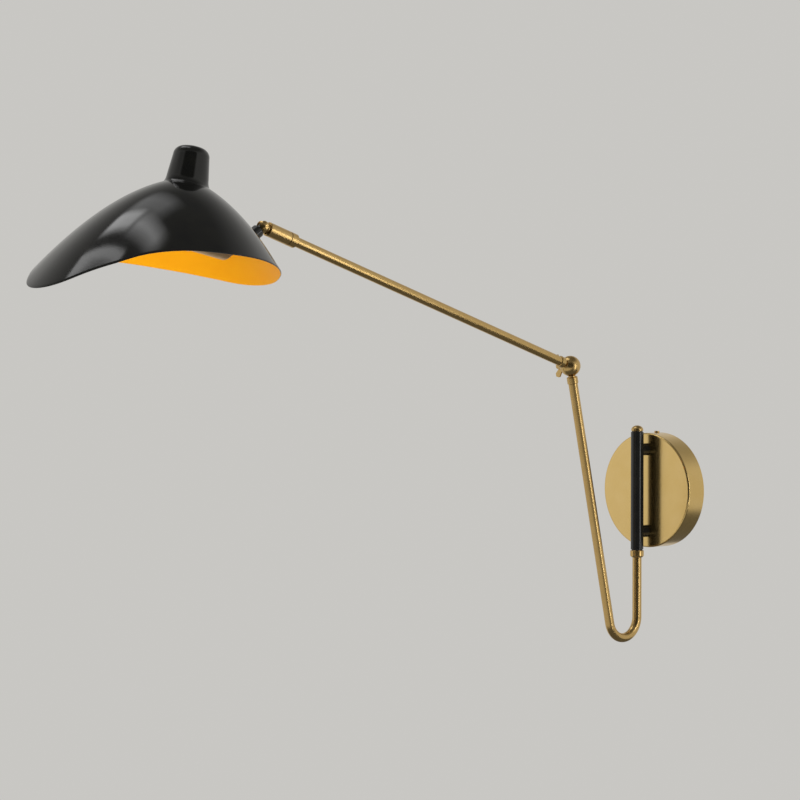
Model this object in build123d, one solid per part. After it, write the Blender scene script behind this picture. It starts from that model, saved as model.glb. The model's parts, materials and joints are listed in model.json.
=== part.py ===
from build123d import *
from math import atan, cos, radians, sin, tan
import os

# Swing-arm wall lamp, millimetres.  +Z is up and the wall is the plane y = 0, with the
# lamp on its -Y side.  The origin is the centre of the canopy's back.  Both arms lie in
# the plane x = 0 when the lamp stands as drawn.

# ---- driving sizes ---------------------------------------------------------------
# fits
turning_fit = 0.05            # radial gap of a shaft that turns
seat_gap = 0.02               # gap between pieces that are pressed or screwed together
running_gap = 0.3             # gap between faces that slide past each other

# wall canopy and strap
canopy_diameter = 126.0
canopy_depth = 24.5
canopy_wall = 1.2
canopy_edge_radius = 2.0
strap_width = 22.0
strap_thickness = 2.0
strap_stand = 0.4             # strap sits this far inside the canopy's back plane
wall_hole_spacing = 70.0
wall_slot_width = 4.6
wall_slot_length = 11.0
wire_hole_diameter = 12.0
ear_depth = 13.0
cover_screw_diameter = 4.0
cover_screw_head = 5.6
cover_screw_proud = 1.8
grub_screw_inset = 0.4        # the lower screw has no head and sits below the rim's face
driver_slot_width = 0.9
driver_slot_depth = 0.7
earth_screw_head = 6.8
earth_screw_head_height = 2.2
terminal_width, terminal_depth, terminal_height = 30.0, 11.0, 13.0
terminal_rise = 20.0          # canopy's centre to the terminal block's centre
terminal_bore = 3.2
terminal_poles = 3
terminal_screw_bore = 2.4

# post
post_offset = 38.5            # wall to the post's axis
sleeve_diameter = 14.0
sleeve_bore = 12.0
sleeve_length = 129.0
bush_length = 14.0
standoff_inset = 19.5         # sleeve's end to the standoff's axis
standoff_diameter = 13.4
standoff_chamfer = 0.5
standoff_screw_diameter = 4.0
standoff_screw_head = 7.5
standoff_screw_head_height = 2.6
standoff_screw_bite = 4.5
nipple_diameter = 8.0
nipple_bore = 5.0
nipple_nut_width = 12.0
nipple_nut_height = 3.5
washer_thickness = 0.8
post_cap_diameter = 12.0
post_cap_skirt = 1.4
stop_collar_diameter = 15.0
stop_collar_length = 7.6
stop_collar_chamfer = 1.6
collar_cover = 1.0            # solid ring of a cap or collar past the tube's end

# tubes
tube_diameter = 10.0
tube_wall = 1.0
bend_radius = 22.0
bend_depth = 138.0            # canopy centre down to the centre of the U bend
leg_length = 287.0            # end of the U bend to the elbow's centre
leg_lean = 12.5               # degrees, away from the wall
arm_length = 443.0            # elbow's centre to the knuckle's centre
arm_rise = 17.85              # degrees above level

# elbow
ball_diameter = 22.0
neck_diameter = 7.9
neck_gap = 0.8
ferrule_diameter = 11.8
ferrule_length = 7.6
spigot_length = 8.0
ferrule_chamfer = 0.6
arm_ferrule_length = 6.4
bolt_diameter = 5.0
bolt_thread_depth = 7.0
bolt_proud = 1.6
spot_face_depth = 1.4
elbow_washer_diameter = 9.6
wing_hub_diameter = 8.6
wing_hub_length = 7.4
wing_hub_taper = 0.82         # hub's outer end to its foot
wing_span = 25.0
wing_lift = 3.6
wing_tip_width = 4.6
wing_thickness = 1.9
wing_rounding = 1.1
wing_turn = 8.0               # degrees, the wings as drawn

# head
head_diameter = 14.0
end_collar_length = 9.5
end_collar_chamfer = 1.8
head_sleeve_length = 27.2
head_back_wall = 5.0
head_bore = 11.0
head_chamfer = 0.5
stub_diameter = 8.0
stub_bore = 4.0
stub_flange_diameter = 10.4
stub_flange_thickness = 3.0
knuckle_stand = 5.6           # head sleeve's front to the knuckle's centre
knuckle_diameter = 12.6
knuckle_neck_diameter = 10.0
fork_plug_length = 9.0
slot_width = 5.0
slot_depth = 6.6              # behind the knuckle's centre
blade_play = 0.15
blade_width = 8.4
pin_diameter = 3.0
pin_head_diameter = 4.8
pin_head_height = 0.9
pin_end_inset = 0.6

# stem between knuckle and shade
stem_length = 31.4            # knuckle's centre to the shade's outer face
stem_diameter = 6.0
stem_overrun = 10.0           # stem's end past the shade's outer face
boss_diameter = 13.0
boss_edge = 0.8
boss_start = 7.0              # knuckle's centre to the boss
boss_socket_depth = 2.0       # room for the tongue's blade
stem_washer_diameter = 15.0
stem_washer_stand = 0.4
stem_nut_width = 9.6
stem_nut_height = 3.8

# shade, in its own frame: z down the axis from the crown, y towards the wall
shade_lean = 11.8             # degrees, top towards the wall
shade_wall = 1.0
crown_flat_radius = 10.0
skirt_radius = 122.9          # the bowed crown ends here and the straight skirt begins
blank_radius = 152.0
crown_angle = 18.6            # degrees of slope at the crown
skirt_angle = 55.9            # degrees of slope of the skirt
mount_radius = 74.7           # shade axis to the stem's hole
rim_over = 12.0               # the rim line runs this far past the sheet at the back
back_reach, back_drop = 104.0, 76.1     # points of the rim line, back to bill
heel_reach, heel_drop = 85.0, 72.1
arch_reach, arch_drop = 50.0, 70.4
side_reach, side_drop = -10.0, 75.1
brow_reach, brow_drop = -70.0, 85.4
cheek_reach, cheek_drop = -110.0, 105.7
bill_reach, bill_drop = -145.0, 134.5

# crown cap
cap_base_radius = 20.0
cap_top_radius = 17.2
cap_height = 33.8             # crown to the top of the cap
cap_shoulder = 9.0
cap_dome = 1.6                # rise of the cap's top inside its shoulder
cap_wall = 1.2
cap_flare = 1.6
cap_thread_depth = 26.0
cap_post_radius = 4.0
crown_screw_diameter = 4.0
crown_screw_head = 7.4
crown_screw_head_height = 2.6
crown_screw_grip = 11.0
crown_washer_diameter = 14.0

# lamp holder and bulb
holder_drop = 46.4            # crown to the holder's axis
holder_back = 59.0            # shade axis to the holder's back
holder_diameter = 32.0
holder_length = 48.0
holder_rounding = 3.0         # back edge of the cup
holder_wall = 0.8
holder_ring_width = 4.0
holder_ring_proud = 1.2
insert_stand = 4.0            # room for the wires behind the porcelain
insert_bore = 27.0
insert_setback = 1.0
wire_way_radius = 2.0
bracket_width = 16.0
bracket_thickness = 1.5
bracket_tail = 11.0
bracket_margin = 1.5          # strap past the nut's edge
nipple_wire_bore = 3.0        # radius of the way for the wires
nipple_grip = 3.0             # thread inside the holder
nipple_end = 0.6
holder_nipple_diameter = 9.6
holder_nut_width = 14.0
holder_nut_height = 3.0
lamp_base_diameter = 26.2
lamp_base_length = 24.0
contact_radius = 4.6
bulb_diameter = 37.0
bulb_length = 66.0

# ---- worked-out places -----------------------------------------------------------
tube_radius = tube_diameter / 2
tube_bore = tube_radius - tube_wall
ball_radius = ball_diameter / 2
canopy_radius = canopy_diameter / 2
sleeve_top = sleeve_length / 2
standoff_place = sleeve_top - standoff_inset
knuckle_radius = knuckle_diameter / 2

cover_screw_axis = (0, -ear_depth / 2, 0)
earth_place = (strap_width / 3, 0, -wall_hole_spacing / 4)
bend_centre = Vector(0, -post_offset - bend_radius, -bend_depth)
leg_dir = Vector(0, -sin(radians(leg_lean)), cos(radians(leg_lean)))
leg_out = Vector(0, -cos(radians(leg_lean)), -sin(radians(leg_lean)))
leg_start = bend_centre + leg_out * bend_radius
elbow = leg_start + leg_dir * leg_length
arm_dir = Vector(0, -cos(radians(arm_rise)), sin(radians(arm_rise)))
knuckle = elbow + arm_dir * arm_length

head_front = -knuckle_stand
head_back = head_front - head_sleeve_length
collar_front = head_back - running_gap
collar_back = collar_front - end_collar_length
arm_tube_end = collar_back + end_collar_length * 0.6

crown_slope = tan(radians(crown_angle))
skirt_slope = tan(radians(skirt_angle))
slope_gain = (skirt_slope - crown_slope) / (skirt_radius - crown_flat_radius)


def dome_drop(radius):
    """Drop of the bowed part of the shade's outer face below the crown."""
    run = radius - crown_flat_radius
    return crown_slope * run + slope_gain * run * run / 2


mount_tilt = atan(crown_slope + slope_gain * (mount_radius - crown_flat_radius))     # from the shade's axis
stem_in = Vector(0, -sin(mount_tilt), -cos(mount_tilt))
mount_point = Vector(0, mount_radius, -dome_drop(mount_radius))
knuckle_local = mount_point - stem_in * stem_length
shade_turn = Rot(X=-shade_lean)
shade_place = Pos(knuckle - Vector(*(shade_turn * Pos(knuckle_local)).position)) * shade_turn
holder_axis = Vector(0, holder_back, -holder_drop)
bracket_back = holder_back + seat_gap + bracket_thickness


# ---- small helpers ---------------------------------------------------------------
def rod(start, direction, length, radius, bore=0.0):
    """Round bar or tube from a point along a direction."""
    across = (0, 1, 0) if Vector(*direction).X else (1, 0, 0)
    plane = Plane(origin=start, z_dir=direction, x_dir=across)
    section = Circle(radius)
    if bore:
        section -= Circle(bore)
    return extrude(plane * section, length)


def hex_piece(start, direction, length, width, bore):
    plane = Plane(origin=start, z_dir=direction, x_dir=(1, 0, 0))
    section = RegularPolygon(width / 2, 6, major_radius=False) - Circle(bore)
    return extrude(plane * section, length)


def along(origin, direction, distance):
    return Vector(*origin) + Vector(*direction) * distance


def half_space(side, clear):
    """Box on one side of the plane x = 0, wide enough for the elbow and its necks."""
    size = 4 * (ball_diameter + spigot_length)
    return Pos(side * (size / 2 + clear), 0, 0) * Box(size, size, size)


def spun(*edges):
    """Solid of revolution about Z of a closed outline in the XZ plane."""
    return revolve(Plane.XZ * make_face(Curve() + list(edges)), Axis.Z)


# ---- wall canopy -----------------------------------------------------------------
def build_canopy():
    face_out = Rot(X=90)
    cup = Cylinder(canopy_radius, canopy_depth, align=(Align.CENTER, Align.CENTER, Align.MIN))
    cup = fillet(cup.edges().sort_by(Axis.Z)[-1], canopy_edge_radius)
    hollow = Cylinder(canopy_radius - canopy_wall, canopy_depth - canopy_wall,
                      align=(Align.CENTER, Align.CENTER, Align.MIN))
    hollow = fillet(hollow.edges().sort_by(Axis.Z)[-1], canopy_edge_radius - canopy_wall / 2)
    canopy = face_out * (cup - hollow)
    reach = canopy_depth * 2
    screw_z = standoff_place
    canopy -= rod((0, 0, screw_z), (0, -1, 0), reach, standoff_screw_diameter / 2 + turning_fit)
    canopy -= rod((0, 0, -screw_z), (0, -1, 0), reach, nipple_diameter / 2 + turning_fit)
    for side in (1, -1):
        canopy -= rod(cover_screw_axis, (0, 0, side), 2 * canopy_radius,
                      cover_screw_diameter / 2 + turning_fit)
    return canopy


def build_wall_strap():
    """Steel strap with two ears that the cover screws bite into."""
    height = 2 * (canopy_radius - canopy_wall - running_gap)
    back = -strap_stand
    plate = Pos(0, back - strap_thickness / 2, 0) * Box(strap_width, strap_thickness, height)
    ear = Box(strap_width, ear_depth, strap_thickness, align=(Align.CENTER, Align.MAX, Align.MAX))
    ears = Pos(0, back, height / 2) * ear + mirror(Pos(0, back, height / 2) * ear, Plane.XY)
    # the round wall of the canopy: the strap's corners follow it
    strap = (plate + ears) & rod((0, 0, 0), (0, -1, 0), canopy_depth, height / 2)
    strap -= rod((0, 0, 0), (0, -1, 0), ear_depth, wire_hole_diameter / 2)
    slot = Plane.XZ * SlotOverall(wall_slot_length, wall_slot_width, rotation=90)
    for side in (1, -1):
        strap -= Pos(0, 0, side * wall_hole_spacing / 2) * extrude(slot, ear_depth)
        strap -= rod(cover_screw_axis, (0, 0, side), height, cover_screw_diameter / 2 - seat_gap)
    return strap - rod(earth_place, (0, -1, 0), ear_depth, cover_screw_diameter / 2)


def cover_screw(side, seat):
    """Slotted shank through the canopy's rim and into the strap's ear, ending at the seat."""
    tip = canopy_radius - canopy_wall - running_gap - 1.5 * strap_thickness
    return rod(along(cover_screw_axis, (0, 0, side), tip), (0, 0, side), seat - tip,
               cover_screw_diameter / 2 - 2 * seat_gap)


def driver_slot(side, outer_end):
    slot = Box(driver_slot_width, 2 * cover_screw_head, 2 * driver_slot_depth)
    return Pos(*along(cover_screw_axis, (0, 0, side), outer_end)) * slot


def build_cover_screw_upper():
    """Round-headed screw at the top of the canopy's rim."""
    seat = canopy_radius + seat_gap
    head = rod(along(cover_screw_axis, (0, 0, 1), seat), (0, 0, 1), cover_screw_proud, cover_screw_head / 2)
    return cover_screw(1, seat) + head - driver_slot(1, seat + cover_screw_proud)


def build_cover_screw_lower():
    """Headless screw at the bottom of the rim, below its face."""
    seat = canopy_radius - grub_screw_inset
    return cover_screw(-1, seat) - driver_slot(-1, seat)


def build_terminal_block():
    back = -strap_stand - strap_thickness - seat_gap
    middle = -terminal_depth / 2
    front_face = (Align.CENTER, Align.MAX, Align.CENTER)
    block = Box(terminal_width, terminal_depth, terminal_height, align=front_face)
    block = chamfer(block.edges().group_by(Axis.Y)[0], terminal_bore / 3)
    pitch = terminal_width / terminal_poles
    for pole in range(terminal_poles):
        x = (pole + 0.5) * pitch - terminal_width / 2
        block -= Pos(x, middle, 0) * Cylinder(terminal_bore / 2, 2 * terminal_height)
        for side in (1, -1):
            screw_way = (x, middle, side * terminal_height / 4)
            block -= rod(screw_way, (0, -1, 0), terminal_depth, terminal_screw_bore / 2)
    return Pos(0, back, terminal_rise) * block


def build_earth_screw():
    front = -(strap_stand + strap_thickness + seat_gap)
    foot = along(earth_place, (0, -1, 0), strap_stand)
    seat = along(earth_place, (0, -1, 0), -front)
    shank = rod(foot, (0, -1, 0), strap_thickness + earth_screw_head_height / 2,
                cover_screw_diameter / 2 - 2 * seat_gap)
    head = rod(seat, (0, -1, 0), earth_screw_head_height, earth_screw_head / 2)
    driver = Box(earth_screw_head * 2, 2 * driver_slot_depth, driver_slot_width)
    return shank + head - Pos(*along(seat, (0, -1, 0), earth_screw_head_height)) * driver


# ---- post ------------------------------------------------------------------------
def build_post_sleeve():
    foot = (0, -post_offset, -sleeve_top)
    return rod(foot, (0, 0, 1), sleeve_length, sleeve_diameter / 2, sleeve_bore / 2)


def build_bush(side):
    start = (0, -post_offset, side * sleeve_top)
    return rod(start, (0, 0, -side), bush_length, sleeve_bore / 2 - seat_gap, tube_radius + turning_fit)


def standoff_body(z):
    """Short bar from the canopy's face to the sleeve, its end coped to the sleeve."""
    face = -canopy_depth - seat_gap
    bar = rod((0, face, z), (0, -1, 0), post_offset - canopy_depth, standoff_diameter / 2)
    bar = chamfer(bar.edges().filter_by(GeomType.CIRCLE).sort_by(Axis.Y)[-1], standoff_chamfer)
    saddle = Cylinder(sleeve_diameter / 2 + seat_gap, 2 * sleeve_length)
    return bar - Pos(0, -post_offset, 0) * saddle


def build_standoff_upper():
    z = standoff_place
    depth = canopy_depth + standoff_screw_bite + running_gap
    return standoff_body(z) - rod((0, 0, z), (0, -1, 0), depth, standoff_screw_diameter / 2 - seat_gap)


def build_standoff_lower():
    """Hollow standoff with the threaded spigot that the wires come through."""
    z = -standoff_place
    reach = canopy_wall + 1.5 * nipple_nut_height
    spigot = rod((0, reach - canopy_depth, z), (0, -1, 0), reach + canopy_wall, nipple_diameter / 2)
    bore = rod((0, 0, z), (0, -1, 0), post_offset, nipple_bore / 2)
    return standoff_body(z) + spigot - bore


def build_standoff_screw():
    z = standoff_place
    inner = -canopy_depth + canopy_wall + seat_gap
    shank_radius = standoff_screw_diameter / 2 - 2 * seat_gap
    shank = rod((0, inner, z), (0, -1, 0), canopy_wall + standoff_screw_bite, shank_radius)
    head = rod((0, inner, z), (0, 1, 0), standoff_screw_head_height, standoff_screw_head / 2)
    driver = Box(2 * standoff_screw_head, 2 * driver_slot_depth, driver_slot_width)
    return shank + head - Pos(0, inner + standoff_screw_head_height, z) * driver


def build_nipple_nut():
    inner = -canopy_depth + canopy_wall + seat_gap
    return hex_piece((0, inner, -standoff_place), (0, 1, 0), nipple_nut_height,
                     nipple_nut_width, nipple_diameter / 2 + seat_gap)


def build_thrust_washer(side):
    start = (0, -post_offset, side * (sleeve_top + seat_gap))
    return rod(start, (0, 0, side), washer_thickness, post_cap_diameter / 2, tube_radius + turning_fit)


def build_post_cap():
    """Domed nut on the top end of the lower arm's tube."""
    base = sleeve_top + washer_thickness + running_gap
    radius = post_cap_diameter / 2
    outline = [Line((0, 0), (radius, 0)), Line((radius, 0), (radius, post_cap_skirt)),
               CenterArc((0, post_cap_skirt), radius, 0, 90), Line((0, post_cap_skirt + radius), (0, 0))]
    dome = spun(*outline)
    socket = Cylinder(tube_radius + seat_gap, 2 * (post_cap_skirt + 1.5 * collar_cover))
    return Pos(0, -post_offset, base) * (dome - socket)


def build_stop_collar():
    top = -sleeve_top - washer_thickness - running_gap
    collar = rod((0, -post_offset, top), (0, 0, -1), stop_collar_length, stop_collar_diameter / 2)
    collar = chamfer(collar.edges().sort_by(Axis.Z)[0], stop_collar_chamfer)
    collar = fillet(collar.edges().sort_by(Axis.Z)[-1], stop_collar_chamfer / 3)
    return collar - rod((0, -post_offset, top), (0, 0, -1), stop_collar_length, tube_radius + seat_gap)


# ---- lower arm -------------------------------------------------------------------
def build_lower_tube():
    """One bent tube: down through the post, round the U and up to the elbow."""
    top = sleeve_top + washer_thickness + running_gap + post_cap_skirt + collar_cover
    drop = Line((-post_offset, top), (-post_offset, -bend_depth))
    bend = JernArc(drop @ 1, drop % 1, bend_radius, -(180 - leg_lean))
    rise = PolarLine(bend @ 1, leg_length - ball_radius - neck_gap - seat_gap, direction=bend % 1)
    path = Plane.YZ * Wire([drop, bend, rise])
    start = Plane(origin=(0, -post_offset, top), z_dir=(0, 0, -1))
    return sweep(start * (Circle(tube_radius) - Circle(tube_bore)), path=path)


def neck_ferrule(centre, direction, length):
    """Ring over a tube's end, against the elbow."""
    start = along(centre, direction, ball_radius + neck_gap)
    ring = rod(start, direction, length, ferrule_diameter / 2)
    ring = chamfer(ring.edges().filter_by(GeomType.CIRCLE), ferrule_chamfer)
    return ring - rod(start, direction, length, tube_radius + seat_gap)


def elbow_half(side, neck_dir):
    """Half of the split ball with its own full round neck, coped clear of the other half."""
    about_bolt = Pos(*elbow) * Rot(Y=90)
    neck = rod(elbow, neck_dir, ball_radius + neck_gap + ferrule_length + spigot_length, neck_diameter / 2)
    whole = about_bolt * Sphere(ball_radius) + neck
    own_side = Pos(*elbow) * half_space(side, running_gap / 2)
    return whole - (about_bolt * Sphere(ball_radius + running_gap) - own_side)


def build_elbow_lower_half():
    half = elbow_half(-1, leg_dir * -1)
    half -= rod(elbow, (-1, 0, 0), ball_radius * 2, bolt_diameter / 2 + turning_fit)
    face = along(elbow, (-1, 0, 0), ball_radius - spot_face_depth)
    return half - rod(face, (-1, 0, 0), ball_radius, ball_radius)


def build_elbow_upper_half():
    half = elbow_half(1, arm_dir)
    return half - rod(elbow, (1, 0, 0), bolt_thread_depth + seat_gap, bolt_diameter / 2 + seat_gap)


def build_elbow_bolt():
    start = along(elbow, (1, 0, 0), bolt_thread_depth)
    inside = bolt_thread_depth + ball_radius - spot_face_depth
    outside = washer_thickness + wing_hub_length + bolt_proud
    bolt = rod(start, (-1, 0, 0), inside + outside, bolt_diameter / 2)
    return chamfer(bolt.edges().filter_by(GeomType.CIRCLE).sort_by(Axis.X)[0], bolt_proud / 3)


def build_elbow_washer():
    start = along(elbow, (-1, 0, 0), ball_radius - spot_face_depth + seat_gap)
    return rod(start, (-1, 0, 0), washer_thickness, elbow_washer_diameter / 2,
               bolt_diameter / 2 + turning_fit)


def build_wing_nut():
    """Coned hub with two lifted wings; the outline is drawn once and mirrored."""
    foot = wing_hub_diameter / 2
    neck = foot * wing_hub_taper
    tip = wing_span / 2
    top = wing_hub_length + wing_lift
    hub = Cone(foot, neck, wing_hub_length, align=(Align.CENTER, Align.CENTER, Align.MIN))
    inner = [(0, wing_hub_length - bolt_proud / 2), (0, wing_lift / 3), (foot, wing_lift / 3)]
    outer = [(tip - wing_tip_width, wing_lift), (tip, wing_hub_length - wing_lift / 4),
             (tip - wing_rounding, top), (tip - wing_tip_width, top),
             (neck, wing_hub_length - bolt_proud / 2)]
    wing = make_face(Polyline(*inner, *outer, close=True))
    wing = fillet([corner for corner in wing.vertices() if corner.X > neck + wing_rounding], wing_rounding)
    pair = extrude(Plane.XZ * wing, wing_thickness / 2, both=True)
    pair += mirror(pair, Plane.YZ)
    nut = hub + pair - Cylinder(bolt_diameter / 2 + turning_fit, 3 * top)
    seat = along(elbow, (-1, 0, 0), ball_radius - spot_face_depth + washer_thickness + running_gap)
    return Pos(*seat) * Rot(X=wing_turn) * Rot(Y=-90) * nut


# ---- upper arm -------------------------------------------------------------------
def build_upper_tube():
    start = along(elbow, arm_dir, ball_radius + neck_gap + seat_gap)
    end = along(knuckle, arm_dir, arm_tube_end)
    return rod(start, arm_dir, (end - start).length, tube_radius, tube_bore)


def build_end_collar():
    """Fixed collar that closes the head sleeve's back and covers the tube's end."""
    start = along(knuckle, arm_dir, collar_back)
    collar = rod(start, arm_dir, end_collar_length, head_diameter / 2)
    back_edge = collar.edges().filter_by(GeomType.CIRCLE).sort_by(Axis(start, arm_dir))[0]
    collar = chamfer(back_edge, end_collar_chamfer)
    collar -= rod(start, arm_dir, arm_tube_end - collar_back + seat_gap, tube_radius + seat_gap)
    return collar - rod(start, arm_dir, end_collar_length, stub_diameter / 2 + seat_gap)


def build_swivel_stub():
    """Hollow shaft fixed in the tube; its flange keeps the head sleeve on."""
    root = arm_tube_end - spigot_length
    spigot = rod(along(knuckle, arm_dir, root), arm_dir, spigot_length, tube_bore - seat_gap)
    flange_start = head_back + head_back_wall + running_gap
    shaft = rod(along(knuckle, arm_dir, arm_tube_end), arm_dir, flange_start - arm_tube_end,
                stub_diameter / 2)
    flange = rod(along(knuckle, arm_dir, flange_start), arm_dir, stub_flange_thickness,
                 stub_flange_diameter / 2)
    bore = rod(along(knuckle, arm_dir, root), arm_dir, arm_length, stub_bore / 2)
    return spigot + shaft + flange - bore


# ---- head ------------------------------------------------------------------------
def build_head_sleeve():
    start = along(knuckle, arm_dir, head_back)
    sleeve = rod(start, arm_dir, head_sleeve_length, head_diameter / 2)
    sleeve = chamfer(sleeve.edges().filter_by(GeomType.CIRCLE), head_chamfer)
    sleeve -= rod(start, arm_dir, head_sleeve_length, stub_diameter / 2 + turning_fit)
    return sleeve - rod(along(start, arm_dir, head_back_wall), arm_dir, head_sleeve_length, head_bore / 2)


def build_knuckle_fork():
    """Plug in the head sleeve's front that ends in a slotted ball."""
    plug_back = head_front - fork_plug_length
    plug = rod(along(knuckle, arm_dir, plug_back), arm_dir, fork_plug_length, head_bore / 2 - seat_gap)
    neck = rod(along(knuckle, arm_dir, head_front), arm_dir, knuckle_stand, knuckle_neck_diameter / 2)
    fork = plug + neck + Pos(*knuckle) * Sphere(knuckle_radius)
    slot_plane = Plane(origin=knuckle, z_dir=arm_dir, x_dir=(1, 0, 0))
    blade_room = Box(slot_width, 2 * knuckle_diameter, 2 * knuckle_diameter,
                     align=(Align.CENTER, Align.CENTER, Align.MIN))
    fork -= slot_plane * Pos(0, 0, -slot_depth) * blade_room
    fork -= rod(along(knuckle, (-1, 0, 0), knuckle_diameter), (1, 0, 0), 2 * knuckle_diameter,
                pin_diameter / 2 + seat_gap)
    wire_way = rod(along(knuckle, arm_dir, plug_back), arm_dir, fork_plug_length + knuckle_stand,
                   stub_bore / 2)
    head_seat = along(knuckle, (1, 0, 0), knuckle_radius - pin_head_height)
    return fork - wire_way - rod(head_seat, (1, 0, 0), knuckle_radius, pin_head_diameter / 2 + 2 * seat_gap)


def build_knuckle_pin():
    seat = along(knuckle, (1, 0, 0), knuckle_radius - pin_head_height + seat_gap)
    shank = rod(seat, (-1, 0, 0), 2 * knuckle_radius - pin_head_height - pin_end_inset, pin_diameter / 2)
    head = rod(seat, (1, 0, 0), pin_head_height, pin_head_diameter / 2)
    head = fillet(head.edges().filter_by(GeomType.CIRCLE).sort_by(Axis.X)[-1], pin_head_height / 2)
    driver = Box(pin_head_height, 2 * pin_head_diameter, driver_slot_width)
    return shank + head - Pos(*along(seat, (1, 0, 0), pin_head_height)) * driver


# ---- shade parts, drawn in the shade's own frame ---------------------------------
def build_tongue():
    """Flat blade in the knuckle's slot, turning into the threaded stem."""
    half_thick = slot_width / 2 - blade_play
    blade_radius = blade_width / 2
    eye = rod(along(knuckle_local, (-1, 0, 0), half_thick), (1, 0, 0), 2 * half_thick, blade_radius)
    plane = Plane(origin=knuckle_local, z_dir=stem_in, x_dir=(1, 0, 0))
    bar = plane * Box(2 * half_thick, blade_width, boss_start + boss_socket_depth,
                      align=(Align.CENTER, Align.CENTER, Align.MIN))
    stem = rod(along(knuckle_local, stem_in, boss_start), stem_in,
               stem_length + stem_overrun - boss_start, stem_diameter / 2)
    tongue = eye + bar + stem
    return tongue - rod(along(knuckle_local, (-1, 0, 0), blade_width), (1, 0, 0), 2 * blade_width,
                        pin_diameter / 2 + turning_fit)


def build_shade_boss():
    """Black turned spacer between the knuckle and the shade."""
    start = along(knuckle_local, stem_in, boss_start)
    boss = rod(start, stem_in, stem_length - boss_start - seat_gap, boss_diameter / 2)
    boss = fillet(boss.edges().filter_by(GeomType.CIRCLE).sort_by(Axis(start, stem_in))[0], boss_edge)
    plane = Plane(origin=start, z_dir=stem_in, x_dir=(1, 0, 0))
    socket = plane * Box(slot_width - 2 * blade_play + 2 * seat_gap, blade_width + 2 * seat_gap,
                         2 * (boss_socket_depth + seat_gap))
    return boss - rod(start, stem_in, stem_length, stem_diameter / 2 + seat_gap) - socket


def dome_meridian():
    """Outer face of the shade: a bowed crown that runs smoothly into a straight skirt."""
    middle = (crown_flat_radius + skirt_radius) / 2
    bend = -crown_slope * (middle - crown_flat_radius)
    skirt_top = -dome_drop(skirt_radius)
    skirt_foot = skirt_top - skirt_slope * (blank_radius - skirt_radius)
    bow = Bezier((crown_flat_radius, 0), (middle, bend), (skirt_radius, skirt_top))
    return bow, Line(bow @ 1, (blank_radius, skirt_foot))


def rim_line():
    """The undulating rim seen from the side, back to bill."""
    fall = (back_drop - heel_drop) / (back_reach - heel_reach)
    return Spline((back_reach + rim_over, -back_drop - fall * rim_over), (back_reach, -back_drop),
                  (heel_reach, -heel_drop), (arch_reach, -arch_drop), (side_reach, -side_drop),
                  (brow_reach, -brow_drop), (cheek_reach, -cheek_drop), (bill_reach, -bill_drop))


def build_shade():
    """Spun dome trimmed along the rim line, then given its thickness square to the sheet."""
    bow, skirt = dome_meridian()
    foot = skirt @ 1
    dome = spun(Line((0, 0), bow @ 0), bow, skirt, Line(foot, (0, foot.Y)), Line((0, foot.Y), (0, 0)))
    rim = rim_line()
    over = 2 * blank_radius
    start = rim @ 0
    finish = rim @ 1 + (rim % 1) * blank_radius
    outside = Polyline((finish.X, finish.Y), (finish.X, over), (over, over), (over, start.Y),
                       (start.X, start.Y))
    kept = make_face(Curve() + [rim, Line(rim @ 1, finish), outside])
    trimmed = dome & extrude(Plane.YZ * kept, over, both=True)
    skin = [face for face in trimmed.faces() if face.geom_type != GeomType.EXTRUSION]
    shade = Solid.thicken(Shell(skin), -shade_wall)
    shade -= rod(along(mount_point, stem_in, -boss_diameter), stem_in, 2 * boss_diameter,
                 stem_diameter / 2 + seat_gap)
    return shade - Cylinder(crown_screw_diameter / 2 + turning_fit, 2 * boss_diameter)


def build_crown_cap():
    """Tapered, round-topped cap on the crown, hollow, with a tapped post inside."""
    foot = -dome_drop(cap_base_radius + cap_flare) + seat_gap
    foot_in = -dome_drop(cap_base_radius - cap_wall) + seat_gap
    flare_top = foot + 2.2 * cap_flare
    shoulder_z = cap_height - cap_dome - cap_shoulder
    shoulder_x = cap_top_radius - cap_shoulder
    base = cap_base_radius
    lip = base - cap_wall
    flare = Bezier((base + cap_flare, foot), (base + cap_flare / 8, foot + 0.4 * cap_flare),
                   (base, flare_top))
    side = Line((base, flare_top), (cap_top_radius, shoulder_z))
    shoulder = CenterArc((shoulder_x, shoulder_z), cap_shoulder, 0, 90)
    crown = Bezier((shoulder_x, shoulder_z + cap_shoulder), (shoulder_x / 2, cap_height), (0, cap_height))
    outer = spun(Line((0, foot_in), (lip, foot_in)), Line((lip, foot_in), flare @ 0),
                 flare, side, shoulder, crown, Line((0, cap_height), (0, foot_in)))
    below = foot_in - cap_height
    roof = shoulder_z + cap_shoulder - cap_wall
    room = spun(Line((0, below), (lip, below)), Line((lip, below), (lip, flare_top)),
                Line((lip, flare_top), (cap_top_radius - cap_wall, shoulder_z)),
                CenterArc((shoulder_x, shoulder_z), cap_shoulder - cap_wall, 0, 90),
                Line((shoulder_x, roof), (0, roof)), Line((0, roof), (0, below)))
    post = Pos(0, 0, seat_gap) * Cylinder(cap_post_radius, roof,
                                          align=(Align.CENTER, Align.CENTER, Align.MIN))
    return outer - room + post - Cylinder(crown_screw_diameter / 2 - seat_gap, cap_thread_depth)


def build_crown_screw():
    seat = -shade_wall - washer_thickness - 2 * seat_gap
    reach = crown_screw_grip - seat
    shank = rod((0, 0, seat), (0, 0, 1), reach, crown_screw_diameter / 2 - 2 * seat_gap)
    head = rod((0, 0, seat), (0, 0, -1), crown_screw_head_height, crown_screw_head / 2)
    head = fillet(head.edges().sort_by(Axis.Z)[0], crown_screw_head_height / 3)
    driver = Box(2 * crown_screw_head, driver_slot_width, 2 * driver_slot_depth)
    return shank + head - Pos(0, 0, seat - crown_screw_head_height) * driver


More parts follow.
